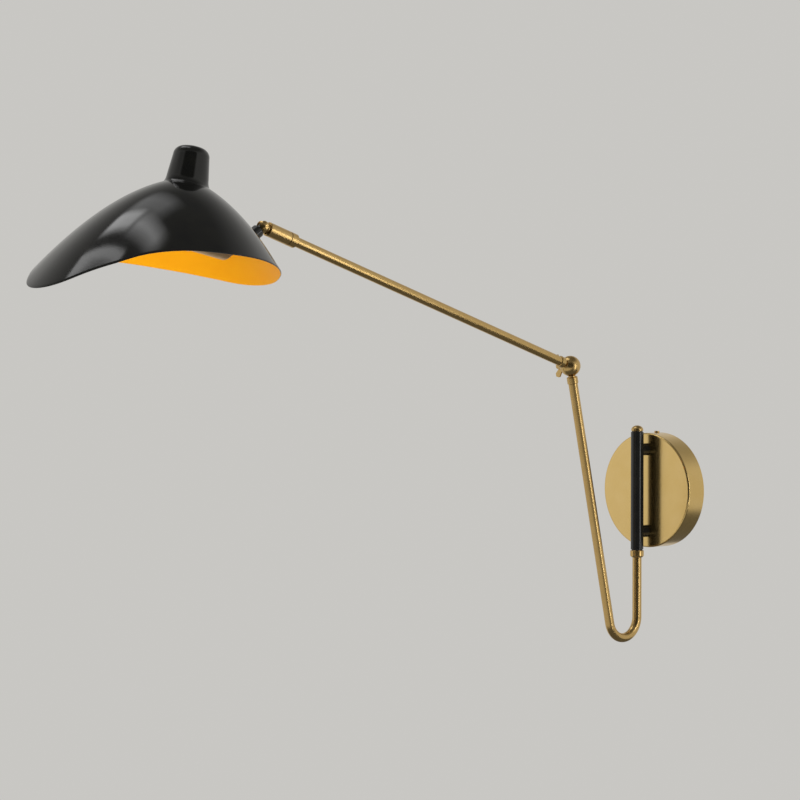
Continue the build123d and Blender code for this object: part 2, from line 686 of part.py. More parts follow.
def build_crown_washer():
    ring = Circle(crown_washer_diameter / 2) - Circle(crown_screw_diameter / 2 + turning_fit)
    return extrude(Pos(0, 0, -shade_wall - seat_gap) * ring, -washer_thickness)


def build_stem_washer():
    start = along(mount_point, stem_in, shade_wall + stem_washer_stand)
    return rod(start, stem_in, washer_thickness, stem_washer_diameter / 2, stem_diameter / 2 + seat_gap)


def bracket_start():
    return shade_wall + stem_washer_stand + washer_thickness + seat_gap


def build_stem_nut():
    start = along(mount_point, stem_in, bracket_start() + bracket_thickness + seat_gap)
    return hex_piece(start, stem_in, stem_nut_height, stem_nut_width, stem_diameter / 2 + seat_gap)


def build_holder_bracket():
    """Folded strap: one leg under the stem's nut, the other behind the lamp holder."""
    up = Vector(0, -cos(mount_tilt), sin(mount_tilt))     # along the shade's wall, to the crown
    foot = along(mount_point, stem_in, bracket_start() + bracket_thickness / 2)
    lower = foot - up * (stem_nut_width / 2 + bracket_margin)
    back_y = holder_back + seat_gap + bracket_thickness / 2
    fold = foot + up * ((foot.Y - back_y) / cos(mount_tilt))
    tail = Vector(0, back_y, -holder_drop - bracket_tail)
    path = FilletPolyline((lower.Y, lower.Z), (fold.Y, fold.Z), (tail.Y, tail.Z), radius=bracket_thickness)
    strip = trace(path, line_width=bracket_thickness)
    bracket = extrude(Plane.YZ * strip, bracket_width / 2, both=True)
    bracket -= rod(mount_point, stem_in, 2 * stem_overrun, stem_diameter / 2 + seat_gap)
    return bracket - rod(holder_axis, (0, 1, 0), 2 * bracket_tail, holder_nipple_diameter / 2 + seat_gap)


def holder_spun(section):
    """Solid turned about the holder's axis: x is the radius, y runs from its back to its mouth."""
    return Pos(*holder_axis) * Rot(Z=180) * revolve(section, Axis.Y)


def holder_turned(*edges):
    return holder_spun(make_face(Curve() + list(edges)))


def cup_section(inner, outer, start, rounding):
    """Filled half section of a cup with a rounded back edge, as far as the holder's mouth."""
    side = FilletPolyline((inner, start), (outer, start), (outer, holder_length), radius=rounding)
    return make_face(side + Polyline(side @ 1, (inner, holder_length), (inner, start)))


def ring_outline(inner, outer, start, end):
    corners = [(inner, start), (outer, start), (outer, end), (inner, end)]
    return Polyline(*corners, close=True)


def build_lamp_holder():
    radius = holder_diameter / 2
    hole = holder_nipple_diameter / 2 + seat_gap
    hollow = cup_section(hole, radius - holder_wall, holder_wall, holder_rounding - holder_wall)
    return holder_spun(cup_section(hole, radius, 0, holder_rounding) - hollow)


def build_holder_insert():
    """Porcelain body with the screw well, a shoulder clear of the cup's back."""
    radius = holder_diameter / 2 - holder_wall - seat_gap
    well = insert_bore / 2
    start = holder_wall + insert_stand
    mouth = holder_length - insert_setback
    floor = mouth - lamp_base_length - running_gap
    return holder_turned(Polyline((wire_way_radius, start), (radius, start), (radius, mouth), (well, mouth),
                                  (well, floor), (wire_way_radius, floor), close=True))


def build_holder_ring():
    radius = holder_diameter / 2
    return holder_turned(ring_outline(radius + seat_gap, radius + holder_ring_proud,
                                      holder_length - holder_ring_width, holder_length))


def build_holder_nipple():
    back = -bracket_thickness - holder_nut_height - nipple_end
    front = holder_wall + nipple_grip
    return holder_turned(ring_outline(nipple_wire_bore, holder_nipple_diameter / 2, back, front))


def build_holder_nut():
    return hex_piece((0, bracket_back + seat_gap, -holder_drop), (0, 1, 0), holder_nut_height,
                     holder_nut_width, holder_nipple_diameter / 2 + seat_gap)


def lamp_end():
    """Where the lamp's metal base ends, a little proud of the holder's mouth."""
    return holder_length - insert_setback + running_gap


def build_lamp_base():
    """Screw shell with its contact, seated in the holder's well."""
    radius = lamp_base_diameter / 2
    end = lamp_end()
    start = end - lamp_base_length + running_gap
    return holder_turned(Polyline((0, start), (contact_radius, start), (contact_radius, start + 1.0),
                                  (radius * 0.6, start + 2.5), (radius, start + 5.5), (radius, end),
                                  (0, end), close=True))


def build_bulb():
    """Candle-shaped glass bulb: a short neck, a swell and a long taper to a round tip."""
    radius = bulb_diameter / 2
    neck = radius * 0.68
    foot = lamp_end() + seat_gap
    widest = foot + 0.36 * bulb_length
    tip = foot + bulb_length
    swell = Bezier((neck, foot), (neck * 1.15, foot + 0.09 * bulb_length),
                   (radius, foot + 0.21 * bulb_length), (radius, widest))
    taper = Bezier((radius, widest), (radius, widest + 0.27 * bulb_length), (radius / 4, tip), (0, tip))
    return holder_turned(Line((0, foot), (neck, foot)), swell, taper, Line((0, tip), (0, foot)))


# ---- one file per piece -----------------------------------------------------------
pieces = {
    "wall_strap": build_wall_strap(),
    "canopy": build_canopy(),
    "cover_screw_upper": build_cover_screw_upper(),
    "cover_screw_lower": build_cover_screw_lower(),
    "terminal_block": build_terminal_block(),
    "earth_screw": build_earth_screw(),
    "standoff_upper": build_standoff_upper(),
    "standoff_lower": build_standoff_lower(),
    "standoff_screw": build_standoff_screw(),
    "nipple_nut": build_nipple_nut(),
    "post_sleeve": build_post_sleeve(),
    "bush_upper": build_bush(1),
    "bush_lower": build_bush(-1),
    "thrust_washer_upper": build_thrust_washer(1),
    "thrust_washer_lower": build_thrust_washer(-1),
    "post_cap": build_post_cap(),
    "stop_collar": build_stop_collar(),
    "lower_tube": build_lower_tube(),
    "lower_ferrule": neck_ferrule(elbow, leg_dir * -1, ferrule_length),
    "elbow_lower_half": build_elbow_lower_half(),
    "elbow_washer": build_elbow_washer(),
    "elbow_upper_half": build_elbow_upper_half(),
    "elbow_bolt": build_elbow_bolt(),
    "wing_nut": build_wing_nut(),
    "upper_ferrule": neck_ferrule(elbow, arm_dir, arm_ferrule_length),
    "upper_tube": build_upper_tube(),
    "end_collar": build_end_collar(),
    "swivel_stub": build_swivel_stub(),
    "head_sleeve": build_head_sleeve(),
    "knuckle_fork": build_knuckle_fork(),
    "knuckle_pin": build_knuckle_pin(),
    "tongue": shade_place * build_tongue(),
    "shade_boss": shade_place * build_shade_boss(),
    "shade": shade_place * build_shade(),
    "crown_cap": shade_place * build_crown_cap(),
    "crown_screw": shade_place * build_crown_screw(),
    "crown_washer": shade_place * build_crown_washer(),
    "stem_washer": shade_place * build_stem_washer(),
    "stem_nut": shade_place * build_stem_nut(),
    "holder_bracket": shade_place * build_holder_bracket(),
    "lamp_holder": shade_place * build_lamp_holder(),
    "holder_insert": shade_place * build_holder_insert(),
    "holder_ring": shade_place * build_holder_ring(),
    "holder_nipple": shade_place * build_holder_nipple(),
    "holder_nut": shade_place * build_holder_nut(),
    "lamp_base": shade_place * build_lamp_base(),
    "bulb": shade_place * build_bulb(),
}

os.makedirs("parts", exist_ok=True)
for name, piece in pieces.items():
    export_step(piece, f"parts/{name}.step")
    print(f"{name:22s} volume {piece.volume:10.1f}")
print("elbow", elbow, "knuckle", knuckle, "crown", shade_place.position)
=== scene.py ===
import json
import math
import bmesh
import bpy
from mathutils import Matrix, Vector


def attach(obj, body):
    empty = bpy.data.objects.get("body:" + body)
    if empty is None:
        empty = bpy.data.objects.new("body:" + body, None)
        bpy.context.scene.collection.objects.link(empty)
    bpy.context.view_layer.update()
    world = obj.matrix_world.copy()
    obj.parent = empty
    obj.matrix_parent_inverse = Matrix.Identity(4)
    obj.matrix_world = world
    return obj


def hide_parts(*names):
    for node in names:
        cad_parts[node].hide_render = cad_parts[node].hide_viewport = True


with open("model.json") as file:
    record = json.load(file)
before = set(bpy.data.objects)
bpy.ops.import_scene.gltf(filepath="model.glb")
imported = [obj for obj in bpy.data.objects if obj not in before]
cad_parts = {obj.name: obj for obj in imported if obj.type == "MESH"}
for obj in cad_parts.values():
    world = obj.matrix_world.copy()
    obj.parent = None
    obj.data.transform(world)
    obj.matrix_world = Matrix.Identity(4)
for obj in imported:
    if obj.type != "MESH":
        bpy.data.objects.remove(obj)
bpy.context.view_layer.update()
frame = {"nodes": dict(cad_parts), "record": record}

# Swing-arm wall lamp: brass arms, black post and a spun shade, black outside and amber inside.
# Metres and degrees. The wall is the plane y = 0, the lamp stands out along -Y, z is up.


# the camera
view = {"place": (1.8812, -2.0907, 0.1652), "turnFromWall": 47.874, "lookDown": 1.359, "lens": 113.8,
        "sensorWidth": 36.0, "nearest": 0.05, "furthest": 100.0}


def placeCamera(view):
    camera = bpy.data.cameras.new("camera")
    camera.lens = view["lens"]
    camera.sensor_width = view["sensorWidth"]
    camera.clip_start = view["nearest"]
    camera.clip_end = view["furthest"]
    holder = bpy.data.objects.new("camera", camera)
    bpy.context.scene.collection.objects.link(holder)
    holder.location = view["place"]
    holder.rotation_euler = (math.radians(90 - view["lookDown"]), 0, math.radians(view["turnFromWall"]))
    bpy.context.scene.camera = holder


placeCamera(view)
print("camera placed")


# the lamp's own lines at rest: post, bent tube, elbow, long arm, knuckle and the stem into the shade
lampLines = {
    "post": -0.0385, "standoffHeight": 0.045,
    "bendDrop": -0.138, "bendRadius": 0.022, "legLean": 12.5, "legLength": 0.287,
    "armRise": 17.85, "armLength": 0.443, "stemDrop": 33.484,
    "elbowBall": 0.011, "knuckleBall": 0.0063,
}


def wayAt(rise):
    # the way out from the wall, so many degrees above level
    return Vector((0, -math.cos(math.radians(rise)), math.sin(math.radians(rise))))


legWay = wayAt(90 - lampLines["legLean"])
armWay = wayAt(lampLines["armRise"])
stemWay = wayAt(-lampLines["stemDrop"])
bendCentre = Vector((0, lampLines["post"] - lampLines["bendRadius"], lampLines["bendDrop"]))
bendEnd = bendCentre + wayAt(-lampLines["legLean"]) * lampLines["bendRadius"]
elbowPlace = bendEnd + legWay * lampLines["legLength"]
knucklePlace = elbowPlace + armWay * lampLines["armLength"]


# helpers for node trees
def mathOf(tree, operation, *values):
    node = tree.nodes.new("ShaderNodeMath")
    node.operation = operation
    for place, value in enumerate(values):
        if isinstance(value, (int, float)):
            node.inputs[place].default_value = value
        else:
            tree.links.new(value, node.inputs[place])
    return node.outputs[0]


def rangeOf(tree, value, low, high, fromLow=0.3, fromHigh=0.7):
    # most of a noise lies between 0.3 and 0.7
    node = tree.nodes.new("ShaderNodeMapRange")
    node.inputs["From Min"].default_value = fromLow
    node.inputs["From Max"].default_value = fromHigh
    node.inputs["To Min"].default_value = low
    node.inputs["To Max"].default_value = high
    tree.links.new(value, node.inputs["Value"])
    return node.outputs["Result"]


def splitOf(tree, vector):
    split = tree.nodes.new("ShaderNodeSeparateXYZ")
    tree.links.new(vector, split.inputs["Vector"])
    return split.outputs


def vectorOf(tree, **parts):
    joined = tree.nodes.new("ShaderNodeCombineXYZ")
    for axis, value in parts.items():
        tree.links.new(value, joined.inputs[axis.upper()])
    return joined.outputs["Vector"]


def lengthOf(tree, vector):
    length = tree.nodes.new("ShaderNodeVectorMath")
    length.operation = "LENGTH"
    tree.links.new(vector, length.inputs[0])
    return length.outputs["Value"]


def mixOf(tree, share, first, second):
    mix = tree.nodes.new("ShaderNodeMixShader")
    tree.links.new(share, mix.inputs["Fac"])
    tree.links.new(first, mix.inputs[1])
    tree.links.new(second, mix.inputs[2])
    return mix.outputs["Shader"]


def newFinish(name):
    made = bpy.data.materials.new(name)
    made.use_nodes = True
    return made, made.node_tree, made.node_tree.nodes["Principled BSDF"]


def coordsOf(tree, stretch=(1, 1, 1), turn=(0, 0, 0)):
    coords = tree.nodes.new("ShaderNodeTexCoord")
    mapping = tree.nodes.new("ShaderNodeMapping")
    mapping.vector_type = "TEXTURE"
    mapping.inputs["Rotation"].default_value = turn
    mapping.inputs["Scale"].default_value = tuple(1 / s for s in stretch)
    tree.links.new(coords.outputs["Object"], mapping.inputs["Vector"])
    return mapping.outputs["Vector"]


def noiseOf(tree, coords, scale, detail):
    noise = tree.nodes.new("ShaderNodeTexNoise")
    noise.inputs["Scale"].default_value = scale
    noise.inputs["Detail"].default_value = detail
    tree.links.new(coords, noise.inputs["Vector"])
    return noise.outputs["Fac"]


def colourFrom(tree, shader, cloud, look):
    # the colour wanders between two near tones
    mix = tree.nodes.new("ShaderNodeMix")
    mix.data_type = "RGBA"
    mix.inputs["A"].default_value = (*look["colour"], 1)
    mix.inputs["B"].default_value = (*look["worn"], 1)
    tree.links.new(rangeOf(tree, cloud, 0, 1), mix.inputs["Factor"])
    tree.links.new(mix.outputs["Result"], shader.inputs["Base Color"])


def glossFrom(tree, shader, pattern, look):
    tree.links.new(rangeOf(tree, pattern, *look["gloss"]), shader.inputs["Roughness"])


def bumpFrom(tree, shader, height, strength, distance):
    node = tree.nodes.new("ShaderNodeBump")
    node.inputs["Strength"].default_value = strength
    node.inputs["Distance"].default_value = distance
    tree.links.new(height, node.inputs["Height"])
    tree.links.new(node.outputs["Normal"], shader.inputs["Normal"])


# brass: each pattern is a scale and a detail, each relief a strength and a depth
brassLook = {"colour": (0.67, 0.455, 0.18), "worn": (0.62, 0.415, 0.155), "gloss": (0.23, 0.26),
             "cloud": (90, 4), "drawn": (60, 1), "drawnStretch": (25, 25, 0.3)}


def lacqueredBrass(name, look, turn=(0, 0, 0)):
    made, tree, shader = newFinish(name)
    cloud = noiseOf(tree, coordsOf(tree), *look["cloud"])
    drawn = noiseOf(tree, coordsOf(tree, look["drawnStretch"], turn), *look["drawn"])     # along z
    colourFrom(tree, shader, cloud, look)
    glossFrom(tree, shader, drawn, look)
    shader.inputs["Metallic"].default_value = 1.0
    return made


canopyLook = {"colour": (0.80, 0.57, 0.23), "worn": (0.77, 0.54, 0.20), "gloss": (0.18, 0.22),
              "cloud": (45, 4), "rings": (2600, 2), "relief": (0.004, 0.0001)}


def spunBrass(name, look):
    # rings left by the brushing lie round the y axis
    made, tree, shader = newFinish(name)
    split = splitOf(tree, coordsOf(tree))
    radius = lengthOf(tree, vectorOf(tree, x=split["X"], y=split["Z"]))
    rings = noiseOf(tree, vectorOf(tree, x=radius, y=split["Y"]), *look["rings"])
    cloud = noiseOf(tree, coordsOf(tree), *look["cloud"])
    colourFrom(tree, shader, cloud, look)
    glossFrom(tree, shader, rings, look)
    bumpFrom(tree, shader, rings, *look["relief"])
    shader.inputs["Metallic"].default_value = 1.0
    return made


# paints
paintPatterns = {"cloud": (70, 4), "peel": (320, 2), "peelDepth": 0.0003}
paintLooks = {
    "blackSatin": {"colour": (0.006, 0.006, 0.006), "worn": (0.009, 0.009, 0.008),
                   "gloss": (0.09, 0.13), "shine": 0.5, "peel": 0.05},
    "blackEnamel": {"colour": (0.004, 0.004, 0.004), "worn": (0.006, 0.006, 0.005),
                    "gloss": (0.07, 0.11), "shine": 0.5, "peel": 0.03},
    "amberEnamel": {"colour": (0.98, 0.45, 0.004), "worn": (0.96, 0.42, 0.003),
                    "gloss": (0.34, 0.42), "shine": 0.12, "peel": 0.06},
}


def paintedMetal(name, look, patterns):
    made, tree, shader = newFinish(name)
    cloud = noiseOf(tree, coordsOf(tree), *patterns["cloud"])
    orangePeel = noiseOf(tree, coordsOf(tree), *patterns["peel"])
    colourFrom(tree, shader, cloud, look)
    glossFrom(tree, shader, cloud, look)
    bumpFrom(tree, shader, orangePeel, look["peel"], patterns["peelDepth"])
    shader.inputs["Specular IOR Level"].default_value = look["shine"]
    return made


# the small parts' finishes
smallPatterns = {"cloud": (160, 4), "grain": (900, 2), "relief": (0.1, 0.0001)}
smallLooks = {
    "zincPlate": {"colour": (0.55, 0.55, 0.52), "worn": (0.42, 0.42, 0.40),
                  "gloss": (0.28, 0.42), "metal": 1.0},
    "oldBrass": {"colour": (0.84, 0.60, 0.34), "worn": (0.78, 0.54, 0.30),
                 "gloss": (0.40, 0.50), "metal": 1.0},
    "nylon": {"colour": (0.78, 0.76, 0.70), "worn": (0.70, 0.68, 0.62),
              "gloss": (0.45, 0.55), "metal": 0.0},
    "blackNylon": {"colour": (0.012, 0.012, 0.012), "worn": (0.02, 0.02, 0.02),
                   "gloss": (0.4, 0.5), "metal": 0.0},
    "porcelain": {"colour": (0.86, 0.85, 0.81), "worn": (0.80, 0.78, 0.73),
                  "gloss": (0.12, 0.2), "metal": 0.0},
    "terminalBlock": {"colour": (0.74, 0.74, 0.70), "worn": (0.66, 0.66, 0.61),
                      "gloss": (0.4, 0.5), "metal": 0.0},
}


def plainPart(name, look, patterns):
    made, tree, shader = newFinish(name)
    cloud = noiseOf(tree, coordsOf(tree), *patterns["cloud"])
    grain = noiseOf(tree, coordsOf(tree), *patterns["grain"])
    colourFrom(tree, shader, cloud, look)
    glossFrom(tree, shader, cloud, look)
    bumpFrom(tree, shader, grain, *patterns["relief"])
    shader.inputs["Metallic"].default_value = look["metal"]
    return made


bulbLook = {"colour": (0.95, 0.92, 0.84), "worn": (0.92, 0.88, 0.78), "gloss": (0.10, 0.16), "cloud": (60, 2),
            "scatter": 0.3, "scatterReach": (0.01, 0.008, 0.006), "coat": 0.5}


def opalGlass(name, look):
    made, tree, shader = newFinish(name)
    cloud = noiseOf(tree, coordsOf(tree), *look["cloud"])
    colourFrom(tree, shader, cloud, look)
    glossFrom(tree, shader, cloud, look)
    shader.inputs["Subsurface Weight"].default_value = look["scatter"]
    shader.inputs["Subsurface Radius"].default_value = look["scatterReach"]
    shader.inputs["Coat Weight"].default_value = look["coat"]
    return made


alongArm = (math.radians(90 - lampLines["armRise"]), 0, 0)      # turns the drawn lines from z to the arm
brass = lacqueredBrass("lacqueredBrass", brassLook)
brassArm = lacqueredBrass("lacqueredBrassArm", brassLook, alongArm)
brassCanopy = spunBrass("spunBrassCanopy", canopyLook)
paint = {name: paintedMetal(name, look, paintPatterns) for name, look in paintLooks.items()}
small = {name: plainPart(name, look, smallPatterns) for name, look in smallLooks.items()}
opal = opalGlass("opalGlass", bulbLook)
finishes = {"brassArm": brassArm, "brassCanopy": brassCanopy, "opal": opal, **paint, **small}

# every other node is lacquered brass
nodeFinish = {
    "brassArm": ["upper_tube", "end_collar", "head_sleeve", "upper_ferrule"],
    "brassCanopy": ["canopy"],
    "blackSatin": ["post_sleeve", "standoff_upper", "standoff_lower", "tongue", "shade_boss", "stem_washer",
                   "stem_nut"],
    "blackEnamel": ["crown_cap", "shade"],
    "zincPlate": ["wall_strap", "standoff_screw", "nipple_nut", "swivel_stub", "crown_screw", "crown_washer",
                  "holder_bracket", "holder_nipple", "holder_nut"],
    "oldBrass": ["lamp_holder", "holder_ring", "lamp_base"],
    "nylon": ["bush_upper", "bush_lower"],
    "blackNylon": ["thrust_washer_upper", "thrust_washer_lower"],
    "porcelain": ["holder_insert"],
    "terminalBlock": ["terminal_block"],
    "opal": ["bulb"],
}


def finishNodes():
    chosen = {node: finishes[finish] for finish, nodes in nodeFinish.items() for node in nodes}
    for name, node in frame["nodes"].items():
        node.data.materials.clear()
        node.data.materials.append(chosen.get(name, brass))


finishNodes()
print("finishes on the metal parts")


# helpers for shapes
def applyModifiers(piece):
    graph = bpy.context.evaluated_depsgraph_get()
    mesh = bpy.data.meshes.new_from_object(piece.evaluated_get(graph), depsgraph=graph)
    piece.modifiers.clear()
    piece.data = mesh


def smoothed(piece, weld=0.0000005, sharp=32.0):
    work = bmesh.new()
    work.from_mesh(piece.data)
    bmesh.ops.remove_doubles(work, verts=work.verts, dist=weld)
    bmesh.ops.recalc_face_normals(work, faces=work.faces)
    work.to_mesh(piece.data)
    work.free()
    piece.data.shade_smooth()
    piece.data.set_sharp_from_angle(angle=math.radians(sharp))


def inPlaceOf(piece, node):
    body = next(body for body, names in frame["record"]["behaviour"]["bodies"].items() if node in names)
    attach(piece, body)
    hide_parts(node)


# the lamp's metal parts, their edges eased and their round faces smooth
edgeSizes = {"weld": 0.000002, "flat": 0.6, "sharp": 32.0, "easing": 0.00018, "steps": 2,
             "fine": {"canopy": 0.0005, "post_sleeve": 0.0004, "head_sleeve": 0.0003, "end_collar": 0.0003}}
ownPieces = ["shade", "lower_tube", "crown_cap", "post_cap"]      # made further down with shapes of their own

# faces on these centre lines and balls are shaded as true curves
acrossWay = Vector((1, 0, 0))
wallWay = Vector((0, 1, 0))
upWay = Vector((0, 0, 1))
trueRounds = {
    "lines": [
        (Vector((0, lampLines["post"], 0)), upWay),
        (Vector((0, 0, 0)), wallWay),
        (Vector((0, 0, lampLines["standoffHeight"])), wallWay),
        (Vector((0, 0, -lampLines["standoffHeight"])), wallWay),
        (elbowPlace, armWay),
        (elbowPlace, legWay),
        (elbowPlace, acrossWay),
        (knucklePlace, stemWay),
        (knucklePlace, acrossWay),
    ],
    "balls": [(elbowPlace, lampLines["elbowBall"]), (knucklePlace, lampLines["knuckleBall"])],
    "offRound": 0.00004,      # how far a corner may lie off its cylinder or ball
    "offLine": 0.02,          # how far a face may lean from its line, as a cosine
    "facing": 0.97,           # how squarely a face looks away from its line, as a cosine
    "thinnest": 0.001,
}


def shadeAsCurves(mesh, rounds):
    normals = [corner.vector.copy() for corner in mesh.corner_normals]
    spots = [vertex.co for vertex in mesh.vertices]
    for face in mesh.polygons:
        corners = [spots[number] for number in face.vertices]
        outward = None
        for centre, radius in rounds["balls"]:
            away = [corner - centre for corner in corners]
            if all(abs(one.length - radius) < rounds["offRound"] for one in away):
                outward = away
        for start, way in rounds["lines"]:
            if outward is None and abs(face.normal.dot(way)) < rounds["offLine"]:
                away = [(corner - start) - way * (corner - start).dot(way) for corner in corners]
                reach = [one.length for one in away]
                middle = sum(away, Vector())
                squarely = middle.length > 0 and abs(face.normal.dot(middle.normalized())) > rounds["facing"]
                even = max(reach) - min(reach) < rounds["offRound"]
                if squarely and even and min(reach) > rounds["thinnest"]:
                    outward = away
        if outward:
            side = 1 if face.normal.dot(sum(outward, Vector())) > 0 else -1
            for loop, one in zip(face.loop_indices, outward):
                normals[loop] = one.normalized() * side
    mesh.normals_split_custom_set(normals)


def easedCopy(name, node, sizes):
    # a copy of a node with welded faces, a small round on each sharp edge and smooth curves
    mesh = node.data.copy()
    work = bmesh.new()
    work.from_mesh(mesh)
    bmesh.ops.remove_doubles(work, verts=work.verts, dist=sizes["weld"])
    bmesh.ops.dissolve_limit(work, angle_limit=math.radians(sizes["flat"]),
                             verts=work.verts, edges=work.edges)
    bmesh.ops.recalc_face_normals(work, faces=work.faces)
    work.to_mesh(mesh)
    work.free()
    piece = bpy.data.objects.new(name + "Eased", mesh)
    bpy.context.scene.collection.objects.link(piece)
    easing = piece.modifiers.new("easing", "BEVEL")
    easing.width = sizes["fine"].get(name, sizes["easing"])
    easing.segments = sizes["steps"]
    easing.limit_method = "ANGLE"
    easing.angle_limit = math.radians(sizes["sharp"])
    applyModifiers(piece)
    piece.data.shade_smooth()
    piece.data.set_sharp_from_angle(angle=math.radians(sizes["sharp"]))
    steady = piece.modifiers.new("steady", "WEIGHTED_NORMAL")
    steady.keep_sharp = True
    applyModifiers(piece)
    shadeAsCurves(piece.data, trueRounds)
    return piece


def easeAll(sizes):
    for names in frame["record"]["behaviour"]["bodies"].values():
        for name in names:
            if name not in ownPieces:
                inPlaceOf(easedCopy(name, frame["nodes"][name], sizes), name)


easeAll(edgeSizes)
print("metal parts eased")


# helpers for the pieces that node trees grow
def newTree(name, numbers):
    tree = bpy.data.node_groups.new(name, "GeometryNodeTree")
    sockets = tree.interface
    sockets.new_socket("Geometry", in_out="INPUT", socket_type="NodeSocketGeometry")
    for number, kind in numbers.items():
        sockets.new_socket(number, in_out="INPUT", socket_type=kind)
    sockets.new_socket("Geometry", in_out="OUTPUT", socket_type="NodeSocketGeometry")
    return tree, tree.nodes.new("NodeGroupInput").outputs


def endTree(tree, geometry, finish):
    real = tree.nodes.new("GeometryNodeRealizeInstances")
    tree.links.new(geometry, real.inputs["Geometry"])
    paintOn = tree.nodes.new("GeometryNodeSetMaterial")
    paintOn.inputs["Material"].default_value = finish
    tree.links.new(real.outputs["Geometry"], paintOn.inputs["Geometry"])
    out = tree.nodes.new("NodeGroupOutput")
    tree.links.new(paintOn.outputs["Geometry"], out.inputs["Geometry"])


def grown(name, tree, sizes, points=()):
    # runs a tree on a line of points, or on an empty mesh, and keeps the result as a plain mesh
    start = bpy.data.meshes.new(name + "Seed")
    start.from_pydata(points, [(n, n + 1) for n in range(len(points) - 1)], [])
    seed = bpy.data.objects.new(name + "Seed", start)
    bpy.context.scene.collection.objects.link(seed)
    modifier = seed.modifiers.new("grow", "NODES")
    modifier.node_group = tree
    for item in tree.interface.items_tree:
        if item.in_out == "INPUT" and item.name in sizes:
            modifier[item.identifier] = sizes[item.name]
    graph = bpy.context.evaluated_depsgraph_get()
    mesh = bpy.data.meshes.new_from_object(seed.evaluated_get(graph), depsgraph=graph)
    bpy.data.objects.remove(seed)
    made = bpy.data.objects.new(name, mesh)
    bpy.context.scene.collection.objects.link(made)
    return made


# bent tube: swept along its path through the post, round the U and up to the elbow
tubeSizes = {"radius": 0.005, "sides": 40, "top": 0.068, "endShort": 0.01182, "bendSteps": 48}


def tubePath(lines, sizes):
    points = [(0, lines["post"], sizes["top"])]
    centre = lines["post"] - lines["bendRadius"]
    turn = math.radians(180 - lines["legLean"])
    for step in range(sizes["bendSteps"] + 1):
        angle = -turn * step / sizes["bendSteps"]
        points.append((0, centre + lines["bendRadius"] * math.cos(angle),
                       lines["bendDrop"] + lines["bendRadius"] * math.sin(angle)))
    lean = math.radians(lines["legLean"])
    run = lines["legLength"] - sizes["endShort"]      # the tube ends short of the elbow's centre
    last = points[-1]
    points.append((0, last[1] - run * math.sin(lean), last[2] + run * math.cos(lean)))
    return points


def tubeTree(finish):
    tree, given = newTree("bentTube", {"radius": "NodeSocketFloat", "sides": "NodeSocketInt"})
    path = tree.nodes.new("GeometryNodeMeshToCurve")
    tree.links.new(given["Geometry"], path.inputs["Mesh"])
    section = tree.nodes.new("GeometryNodeCurvePrimitiveCircle")
    tree.links.new(given["radius"], section.inputs["Radius"])
    tree.links.new(given["sides"], section.inputs["Resolution"])
    sweep = tree.nodes.new("GeometryNodeCurveToMesh")
    sweep.inputs["Fill Caps"].default_value = True
    tree.links.new(path.outputs["Curve"], sweep.inputs["Curve"])
    tree.links.new(section.outputs["Curve"], sweep.inputs["Profile Curve"])
    endTree(tree, sweep.outputs["Mesh"], finish)
    return tree


def makeBentTube(lines, sizes):
    tube = grown("bentTube", tubeTree(brass), sizes, tubePath(lines, sizes))
    smoothed(tube)
    inPlaceOf(tube, "lower_tube")


# shade: a bowed crown and a straight skirt, trimmed along one undulating rim line
shadeSizes = {
    "crownPlace": (0.0, -0.656305, 0.313188), "lean": 11.8, "wall": 0.001, "screwHole": 0.0021,
    "crownFlat": 0.010, "crownSlope": math.tan(math.radians(18.6)),
    "skirtRadius": 0.1229, "skirtSlope": math.tan(math.radians(55.9)),
    # rim line seen from the side: distance towards the bill and drop below the crown
    "rim": [(-0.116, 0.0786), (-0.104, 0.0761), (-0.085, 0.0721), (-0.050, 0.0704), (0.010, 0.0751),
            (0.070, 0.0854), (0.110, 0.1057), (0.145, 0.1345), (0.156, 0.1447)],
    "rimDrops": (0.05, 0.16),
    # the radius where dome and rim line meet is searched for between these, by halving
    "rimRadii": (0.06, 0.16), "halvings": 14,
    "around": 240, "down": 56, "crowding": 0.75, "weld": 0.000001,
    "edge": 0.0003, "edgeSteps": 2, "edgeSharp": 50,
}
shadeFrame = (Matrix.Translation(shadeSizes["crownPlace"])
              @ Matrix.Rotation(math.radians(-shadeSizes["lean"]), 4, "X"))


def domeDrop(tree, radius, given):
    # a bowed crown up to the skirt's radius, then a straight skirt
    span = mathOf(tree, "SUBTRACT", given["skirtRadius"], given["crownFlat"])
    steeper = mathOf(tree, "SUBTRACT", given["skirtSlope"], given["crownSlope"])
    halfGain = mathOf(tree, "MULTIPLY", mathOf(tree, "DIVIDE", steeper, span), 0.5)
    inCrown = mathOf(tree, "MINIMUM", radius, given["skirtRadius"])
    bowed = mathOf(tree, "MAXIMUM", mathOf(tree, "SUBTRACT", inCrown, given["crownFlat"]), 0.0)
    slope = mathOf(tree, "MULTIPLY_ADD", halfGain, bowed, given["crownSlope"])
    bow = mathOf(tree, "MULTIPLY", bowed, slope)
    straight = mathOf(tree, "MAXIMUM", mathOf(tree, "SUBTRACT", radius, given["skirtRadius"]), 0.0)
    return mathOf(tree, "MULTIPLY_ADD", straight, given["skirtSlope"], bow)


